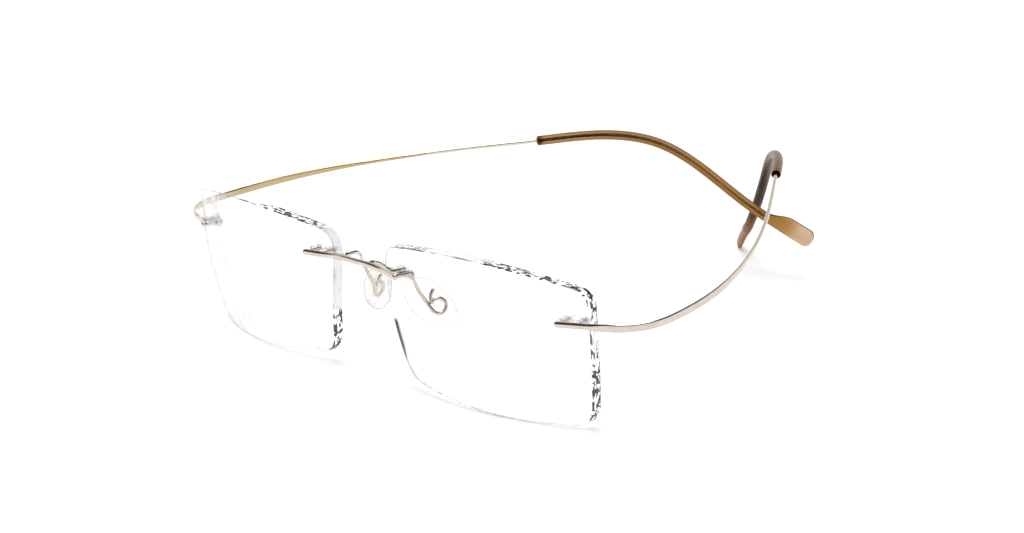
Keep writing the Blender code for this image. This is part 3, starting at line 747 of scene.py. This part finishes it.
def lens_shape(outline):
    """The lens as rings from the middle of its front, over its wall, to the middle of its back."""
    shape = bmesh.new()

    def ring(scale, behind, inset=0.0):
        points = []
        for point, _ in outline:
            kept = point * scale
            kept -= kept.normalized() * (inset + FINE_SHRINK)
            points.append(shape.verts.new(lens_point(kept.x, kept.y, behind)))
        return points

    front = [ring(scale, FINE_SHRINK) for scale in LENS_RINGS]
    back = [ring(scale, LENS_THICKNESS) for scale in reversed(LENS_RINGS)]
    # points near the outline keep the same inset all round, so the chamfer is even
    near_front = ring(1, FINE_SHRINK, NEAR_EDGE_INSET)
    near_back = ring(1, LENS_THICKNESS, NEAR_EDGE_INSET)
    flat_wall = LENS_THICKNESS - 2 * LENS_CHAMFER
    wall = [ring(1, FINE_SHRINK, LENS_CHAMFER), ring(1, LENS_CHAMFER)]
    wall += [ring(1, LENS_CHAMFER + flat_wall * k / WALL_PARTS) for k in range(1, WALL_PARTS)]
    wall += [ring(1, LENS_THICKNESS - LENS_CHAMFER), ring(1, LENS_THICKNESS, LENS_CHAMFER)]
    skin(shape, front + [near_front] + wall + [near_back] + back)
    return shape


def mount_frame(mount):
    """Axes at a mount on the left lens: X outward along the bar, Y into the lens, Z up."""
    across, up = mount
    centre = Vector((0, LENS_RADIUS, 0))
    inward = centre - Vector((across, lens_depth(across, up), up))
    into = (lens_turn() @ inward).normalized()
    outward = into.cross(Vector((0, 0, 1))).normalized()
    upward = outward.cross(into)
    made = Matrix((outward, into, upward)).transposed().to_4x4()
    made.translation = lens_point(across, up)
    return made


def turned_rod(axes, along, profile, sides, shape=None):
    """A round rod on the Y axis of axes, moved along its X axis; profile gives (y, radius)."""
    shape = shape or bmesh.new()
    across, axis, up = (axes.col[i].xyz for i in range(3))
    base = axes.translation + across * along
    rings = [section_ring(shape, base + axis * y, across, up, radius, radius, sides)
             for y, radius in profile]
    skin(shape, rings)
    return shape


def build_lens(side):
    outline = lens_outline()
    lens = add_piece(f"{side}_lens_fine", lens_shape(outline), (LENS_FACE, LENS_EDGE), side)
    cutters = []
    for mount in (BRIDGE_MOUNT, END_MOUNT):
        axes = mount_frame(mount)
        for along in (-HOLE_SPACING / 2, HOLE_SPACING / 2):
            profile = ((-DRILL_OVERSHOOT, HOLE_RADIUS),
                       (LENS_THICKNESS + DRILL_OVERSHOOT, HOLE_RADIUS))
            drill = turned_rod(axes, along, profile, HOLE_SIDES)
            cutters.append(add_piece("drill", drill, (), side))
    apply_cut(lens, cutters)
    mark_lens_edge(lens, outline, side)
    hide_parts(f"{side}_lens")
    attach(lens, "front")


def mark_lens_edge(lens, outline, side):
    """Write the edge's painted reflections into vertex attributes, and give each wall face the edge
    material.
    """
    mesh = lens.data
    unplace = mirrored if side == "right" else Vector
    corners = np.array([tuple(point) for point, _ in outline])
    run = distances([point.to_3d() for point, _ in outline])
    local = []
    for vertex in mesh.vertices:
        point = vertex.co / MM
        local.append(lens_local(unplace((point.x, point.y + CENTRE_Y, point.z))))
    names = ("edge_mm", "edge_painted_shade", "edge_painted_glints", "edge_painted_lines")
    for name in names:
        mesh.attributes.new(name, "FLOAT_VECTOR" if name == "edge_mm" else "FLOAT", "POINT")
    where, tone, glints, lines = (mesh.attributes[name] for name in names)
    on_wall = []
    for i, spot in enumerate(local):
        gaps = np.hypot(corners[:, 0] - spot.x, corners[:, 1] - spot.y)
        k = int(gaps.argmin())
        place = outline[k][1]
        # painted shade and glints of the edge at this place
        dark, broken, reach = at_place(EDGE_LOOK[side], place)
        soft_border = side == "right" and (place > SOFT_BORDER_FROM or place < SOFT_BORDER_UNTIL)
        depth = spot.z / LENS_THICKNESS
        gathered = math.exp(-(depth / reach)**2) if reach < 0.99 else 1.0
        where.data[i].vector = (run[k], 0.0, spot.z)
        tone.data[i].value = dark * gathered
        glints.data[i].value = broken * gathered
        lines.data[i].value = gathered * (SOFT_BORDER if soft_border else 1.0)
        on_wall.append(gaps[k] < ON_WALL_WITHIN)
    for face in mesh.polygons:
        face.material_index = 1 if all(on_wall[v] for v in face.vertices) else 0


# ---------------------------------------------------------------- compression mounts

def rounded_plate(axes, face):
    """The oblong plate of a double sleeve with softened edges."""
    length, width, thickness = SLEEVE_FLANGE
    shape = bmesh.new()
    rings = []
    soft = PLATE_SOFTENING
    slight = soft * 0.3
    levels = ((face, soft), (face + slight, slight), (face + soft, 0.0),
              (face + thickness - soft, 0.0), (face + thickness - slight, slight),
              (face + thickness, soft))
    for behind, inset in levels:
        radius = width / 2 - inset
        reach = length / 2 - width / 2
        ring = []
        for end, first in ((1, -90), (-1, 90)):
            for step in range(PLATE_END_STEPS + 1):
                angle = math.radians(first + step * 180 / PLATE_END_STEPS)
                along = end * reach + radius * math.cos(angle)
                place = Vector((along, behind, radius * math.sin(angle)))
                ring.append(shape.verts.new(axes @ place))
        rings.append(ring)
    skin(shape, rings)
    return shape


def build_mount(name, mount, side):
    """A double sleeve behind the lens, and the two pins that the bar's end presses into it."""
    axes = mount_frame(mount)
    face = LENS_THICKNESS + FLANGE_STANDOFF
    back = face + SLEEVE_FLANGE[2]
    collar = back + COLLAR_HEIGHT
    in_lens = ((SLEEVE_START, SLEEVE_RADIUS - SLEEVE_LEAD),
               (SLEEVE_START + SLEEVE_LEAD, SLEEVE_RADIUS), (face + SLEEVE_OVERLAP, SLEEVE_RADIUS))
    behind = tuple(zip((back - SLEEVE_OVERLAP, collar - COLLAR_STEP, collar), COLLAR_RADII))
    shape = rounded_plate(axes, face)
    for along in (-HOLE_SPACING / 2, HOLE_SPACING / 2):
        turned_rod(axes, along, in_lens, SLEEVE_SIDES, shape)
        turned_rod(axes, along, behind, SLEEVE_SIDES, shape)
    sleeve = add_piece(f"{side}_{name}_sleeve_clear", shape, (SLEEVE,), side)
    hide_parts(f"{side}_{name}_sleeve")
    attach(sleeve, "front")
    for place, along in (("inner", -HOLE_SPACING / 2), ("outer", HOLE_SPACING / 2)):
        root = -BAR_STANDOFF + POST_IN_BAR
        end = back + POST_END
        profile = ((root, POST_RADIUS + 0.12), (root + 0.3, POST_RADIUS + 0.02),
                   (root + 0.42, POST_RADIUS), (end - 0.2, POST_RADIUS),
                   (end - 0.07, POST_RADIUS * 0.86), (end, POST_RADIUS * 0.5))
        rod = turned_rod(axes, along, profile, POST_SIDES)
        pin = add_piece(f"{side}_{name}_pin_{place}", rod, (TITANIUM,), side)
        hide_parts(f"{side}_{name}_post_{place}")
        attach(pin, "front")


# ---------------------------------------------------------------- bridge, strips, wires

def mount_line(axes, first, last):
    """Three places on a bar's middle line, across the front of its mount."""
    return [axes @ Vector((along, -BAR_STANDOFF, 0)) for along in (first, 0.0, last)]


def build_bridge():
    axes = mount_frame(BRIDGE_MOUNT)
    half = mount_line(axes, HOLE_SPACING / 2 + BAR_PAST_POST, -BAR_ON_EDGE) + [Vector(BRIDGE_SIDE)]
    knots = [mirrored(k) for k in half] + [Vector(BRIDGE_MIDDLE)] + list(reversed(half))
    points = smooth_curve(knots, BAR_STEP)
    shape = bmesh.new()
    sizes = [(BAR_RADIUS, BAR_RADIUS, 0)] * len(points)
    rings = round_rings(shape, points, frames_along(points), sizes, BAR_SIDES, start=True, end=True)
    skin(shape, rings)
    bar = add_piece("bridge_bar_fine", shape, (TITANIUM,))
    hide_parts("bridge_bar")
    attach(bar, "front")


def nearest(points, knot):
    return min(range(len(points)), key=lambda i: (points[i] - Vector(knot)).length)


def side_curve(side, step):
    """The middle line of one side, from its end on the lens to the end of its tip."""
    axes = mount_frame(END_MOUNT)
    knots = mount_line(axes, -HOLE_SPACING / 2 - BAR_PAST_POST, BAR_ON_EDGE - EDGE_EARLY)
    knots += [Vector(k) for k in END_BAR_TURN + (FLEX_POINT,) + TEMPLE_ROUTE[side]]
    return smooth_curve(knots, step)


def side_piece(side):
    """End bar, strip and wire in one, bending between the front and the side."""
    points = side_curve(side, SIDE_STEP)
    along = distances(points)
    flex = along[nearest(points, FLEX_POINT)]
    mouth = nearest(points, TEMPLE_ROUTE[side][TIP_START_KNOT])
    kept = [i for i, d in enumerate(along) if d < along[-1] - CORE_SHORT_OF_END]
    round_until = HOLE_SPACING / 2 + BAR_PAST_POST + BAR_ON_EDGE
    sizes = []
    for i in kept:
        flat = ease((along[i] - round_until) / STRIP_BLEND)
        taper = ease((along[i] - flex - STRIP_FULL_UNTIL) / (STRIP_GONE_AT - STRIP_FULL_UNTIL))
        across = BAR_RADIUS + (STRIP_HALF_THICKNESS - BAR_RADIUS) * flat
        up = BAR_RADIUS + (STRIP_HALF_HEIGHT - BAR_RADIUS) * flat
        across += (WIRE_RADIUS - across) * taper
        up += (WIRE_RADIUS - up) * taper
        sizes.append((across, up, STRIP_SQUARENESS * flat * (1 - taper)))
    shape = bmesh.new()
    frames = frames_along(points)
    rings = round_rings(shape, [points[i] for i in kept], [frames[i] for i in kept], sizes,
                        BAR_SIDES, start=True, end=True)
    for k, face in enumerate(skin(shape, rings)):
        # the wire within the tip gets the near-black painted shade
        if k // BAR_SIDES - len(DOME_ANGLES) > mouth + DARK_CORE_IN_TIP:
            face.material_index = 1
    # the right strip gets the painted warm reflection
    metal = TITANIUM_PAINTED_WARM if side == "right" else TITANIUM
    piece = add_piece(f"{side}_strip_and_wire", shape, (metal, CORE_PAINTED_SHADE), side)
    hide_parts(f"{side}_end_bar", f"{side}_temple")
    place = mirrored if side == "right" else Vector
    start = to_world(place(BEND_START))
    end = to_world(place(BEND_END))
    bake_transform(piece, "front", f"{side}_side", start=tuple(start), end=tuple(end))


def turned(across, up, angle):
    """The two section directions, turned about the tangent."""
    wide = up * math.cos(angle) + across * math.sin(angle)
    flat = across * math.cos(angle) - up * math.sin(angle)
    return flat, wide


def tip_piece(side):
    """The plastic tip: a rounded, recessed mouth, a round sleeve, and a flat paddle."""
    whole = side_curve(side, TIP_STEP)
    frames = frames_along(whole)
    mouth = nearest(whole, TEMPLE_ROUTE[side][TIP_START_KNOT]) + TIP_STARTS_LATER[side]
    along = distances(whole)
    shape = bmesh.new()
    for name in ("paddle", "pale", "painted_shade", "rim"):
        shape.verts.layers.float.new(name)
    layers = shape.verts.layers.float
    rim_shade, rim_from, rim_over = RIM_SHADE
    near_mouth, middle, at_end = PAINTED_SHADE_LEVELS[side]
    mouth_shade, mouth_until, mouth_fade = PAINTED_SHADE_AT_MOUTH
    rings = []

    def ring(centre, across, up, half_across, half_up, paddle=0.0, pale=0.0, painted_shade=0.0):
        made = section_ring(shape, centre, across, up, half_across, half_up, TIP_SIDES)
        for vertex in made:
            vertex[layers["paddle"]] = paddle
            vertex[layers["pale"]] = pale
            vertex[layers["painted_shade"]] = painted_shade
            height = (vertex.co - centre).dot(up) / half_up
            # painted shade on the top of the paddle
            vertex[layers["rim"]] = rim_shade * paddle * ease((height - rim_from) / rim_over)
        rings.append(made)

    tangent, across, up = frames[mouth]
    for depth, radius in MOUTH_PROFILE:
        ring(whole[mouth] + tangent * depth, across, up, radius, radius)
    for i in range(mouth + 1, len(whole)):
        _, across, up = frames[i]
        left_over = along[-1] - along[i]
        spread_out = min(max(1 - left_over / PADDLE_LENGTH, 0.0), 1.0)
        widen = math.sin(min(spread_out * PADDLE_EASE, 1.0) * math.pi / 2)**2
        half_up = TIP_RADIUS + (PADDLE_HALF_HEIGHT - TIP_RADIUS) * widen
        half_across = TIP_RADIUS + (PADDLE_HALF_THICKNESS - TIP_RADIUS) * widen
        flat, wide = turned(across, up, PADDLE_TWIST * widen)
        centre = whole[i] + wide * (half_up - TIP_RADIUS)
        run = along[i] - along[mouth]
        # painted shade: darkest on the left tip's descending branch and at each mouth
        painted_shade = near_mouth + (middle - near_mouth) * ease((run - PAINTED_SHADE_MIDWAY[0]) / PAINTED_SHADE_MIDWAY[1])
        painted_shade += (at_end - painted_shade) * ease((PAINTED_SHADE_END[0] - left_over) / PAINTED_SHADE_END[1])
        painted_shade = max(painted_shade, mouth_shade * ease((mouth_until - run) / mouth_fade))
        paddle = ease((CORE_SHORT_OF_END + CORE_END_FADE[0] - left_over) / CORE_END_FADE[1])
        pale = PALE_END[side] * ease((CORE_SHORT_OF_END - left_over) / CORE_SHORT_OF_END)
        ring(centre, flat, wide, half_across, half_up, paddle, pale, painted_shade)
    tangent, across, up = frames[-1]
    flat, wide = turned(across, up, PADDLE_TWIST)
    for turn in PADDLE_DOME_ANGLES:
        lean = math.radians(turn)
        scale = math.cos(lean)
        centre = whole[-1] + wide * (PADDLE_HALF_HEIGHT - TIP_RADIUS)
        centre += tangent * PADDLE_DOME * math.sin(lean)
        ring(centre, flat, wide, PADDLE_HALF_THICKNESS * scale, PADDLE_HALF_HEIGHT * scale, 1.0,
             PALE_END[side], at_end)
    skin(shape, rings)
    # the recess at the mouth gets the near-black painted shade
    inside = {vertex for made in rings[:MOUTH_DARK_RINGS] for vertex in made}
    for face in shape.faces:
        if any(vertex in inside for vertex in face.verts):
            face.material_index = 1
    piece = add_piece(f"{side}_tip_amber", shape, (TIP, MOUTH_PAINTED_SHADE), side)
    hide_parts(f"{side}_temple_tip")
    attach(piece, f"{side}_side")


# ---------------------------------------------------------------- nose pads

def pad_frame():
    """Axes of the left pad: X down its length, Y across, Z towards the lens."""
    normal = Vector(PAD_NORMAL).normalized()
    along = Vector(PAD_LONG_AXIS)
    along = (along - normal * along.dot(normal)).normalized()
    across = normal.cross(along)
    made = Matrix((along, across, normal)).transposed().to_4x4()
    made.translation = Vector(PAD_CENTRE)
    return made


def curl_point(angle):
    """A place on the curl's middle line, in the pad's axes."""
    return Vector((CURL_CENTRE[0] + CURL_RADIUS * math.cos(angle),
                   CURL_CENTRE[1] + CURL_RADIUS * math.sin(angle), CURL_HEIGHT))


# (part of the outline, height) of the pad's rings, from its back to the nose side
PAD_PROFILE = ((0.3, 1.18), (0.55, 1.22), (0.72, PAD_BACK_DEPTH), (0.80, PAD_BACK_DEPTH),
               (0.87, 1.2), (0.94, 0.95), (0.985, 0.55), (1.0, 0.2), (0.99, -0.1), (0.965, -0.35),
               (0.92, -0.6), (0.85, -0.82), (0.75, -0.97), (0.62, -1.08), (0.45, -1.16),
               (0.25, -1.19))


def build_pad(side):
    """The wire from the bridge to its curl, and the silicone pad round the curl."""
    axes = pad_frame()
    entry = curl_point(CURL_START)
    knots = [Vector(k) for k in (ARM_ROOT, *ARM_KNEE[side], ARM_SHOULDER)]
    lead_in = axes @ (entry + ARM_LEAD_IN)
    knots += [(knots[-1] + lead_in) / 2, lead_in]
    for step in range(CURL_STEPS + 1):
        knots.append(axes @ curl_point(CURL_START + CURL_TURN * step / CURL_STEPS))
    knots += [axes @ Vector((*place, CURL_HEIGHT)) for place in CURL_TAIL]
    points = smooth_curve(knots, ARM_STEP)
    root = Vector(BRIDGE_SIDE) + (points[0] - Vector(BRIDGE_SIDE)) * ARM_ROOT_IN_BRIDGE
    points = [root, (root + points[0]) / 2] + points
    sizes = []
    for distance in distances(points):
        radius = ARM_RADIUS + ARM_FLARE * (1 - ease(distance / ARM_FLARE_LENGTH))
        sizes.append((radius, radius, 0))
    shape = bmesh.new()
    skin(shape, round_rings(shape, points, frames_along(points), sizes, ARM_SIDES, end=True))
    arm = add_piece(f"{side}_pad_wire", shape, (TITANIUM,), side)
    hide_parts(f"{side}_pad_arm")
    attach(arm, "front")

    shape = bmesh.new()
    rings = []
    for scale, height in PAD_PROFILE:
        ring = []
        for k in range(PAD_SIDES):
            angle = 2 * math.pi * k / PAD_SIDES
            egg = 1 - PAD_EGG * math.cos(angle)
            local = Vector((PAD_HALF_LENGTH * scale * math.cos(angle),
                            PAD_HALF_WIDTH * scale * egg * math.sin(angle), height))
            ring.append(shape.verts.new(axes @ local))
        rings.append(ring)
    skin(shape, rings)
    frosted = {vertex for ring in rings[FROSTED_FROM_RING:] for vertex in ring}
    for face in shape.faces:
        if sum(vertex in frosted for vertex in face.verts) >= 2:
            face.material_index = 1
    pad = add_piece(f"{side}_pad_clear", shape, (SILICONE, SILICONE_FROSTED), side)
    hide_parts(f"{side}_nose_pad")
    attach(pad, f"{side}_pad")


# ---------------------------------------------------------------- stage, light and camera

def build_floor():
    shape = bmesh.new()
    bmesh.ops.create_grid(shape, x_segments=2, y_segments=2, size=FLOOR_SIZE)
    mesh = bpy.data.meshes.new("floor")
    shape.to_mesh(mesh)
    shape.free()
    mesh.materials.append(floor_material())
    floor = bpy.data.objects.new("floor", mesh)
    bpy.context.scene.collection.objects.link(floor)


def build_studio():
    """A bright panel straight above, a pale ring low all round, and a dark room between them.

    The dark part is a little paler on the side away from the camera.
    """
    world = bpy.data.worlds.new("studio")
    world.use_nodes = True
    tree = world.node_tree
    background = tree.nodes["Background"]
    place = node(tree, "ShaderNodeTexCoord")
    split = node(tree, "ShaderNodeSeparateXYZ")
    tree.links.new(place.outputs["Generated"], split.inputs[0])
    toward = node(tree, "ShaderNodeVectorMath", operation="DOT_PRODUCT")
    toward.inputs[1].default_value = (math.sin(CAMERA_AZIMUTH), -math.cos(CAMERA_AZIMUTH), 0.0)
    tree.links.new(place.outputs["Generated"], toward.inputs[0])
    height = split.outputs["Z"]
    upper = spread(tree, toward.outputs["Value"], FAR_SIDE_SHADE, DARK_SHADE, *FAR_SIDE_FROM)
    low = spread(tree, height, 1.0, 0.0, *RING_UNTIL)
    room = maths(tree, "ADD", maths(tree, "MULTIPLY", low, RING_SHADE),
                 maths(tree, "MULTIPLY", maths(tree, "SUBTRACT", 1.0, low), upper))
    panel = spread(tree, height, 0.0, 1.0, *PANEL_FROM)
    tree.links.new(blend(tree, panel, room, (1.0, 1.0, 1.0, 1.0)), background.inputs["Color"])
    background.inputs["Strength"].default_value = STUDIO_STRENGTH
    bpy.context.scene.world = world
    bpy.context.scene.view_settings.view_transform = "Standard"


def build_camera():
    azimuth, elevation, roll = CAMERA_AZIMUTH, CAMERA_ELEVATION, CAMERA_ROLL
    back = Vector((math.sin(azimuth) * math.cos(elevation),
                   -math.cos(azimuth) * math.cos(elevation), math.sin(elevation)))
    right = Vector((math.cos(azimuth), math.sin(azimuth), 0))
    up = back.cross(right)
    turned_right = right * math.cos(roll) + up * math.sin(roll)
    turned_up = up * math.cos(roll) - right * math.sin(roll)
    place = Matrix((turned_right, turned_up, back)).transposed().to_4x4()
    place.translation = Vector(CAMERA_TARGET) + back * CAMERA_DISTANCE
    data = bpy.data.cameras.new("camera")
    data.sensor_width = CAMERA_SENSOR
    data.lens = CAMERA_LENS
    data.clip_start = CAMERA_CLIP_START
    camera = bpy.data.objects.new("camera", data)
    camera.matrix_world = place
    bpy.context.scene.collection.objects.link(camera)
    bpy.context.scene.camera = camera


build_bridge()
for side in ("left", "right"):
    build_lens(side)
    build_mount("bridge", BRIDGE_MOUNT, side)
    build_mount("end", END_MOUNT, side)
    side_piece(side)
    tip_piece(side)
    build_pad(side)
build_floor()
build_studio()
build_camera()
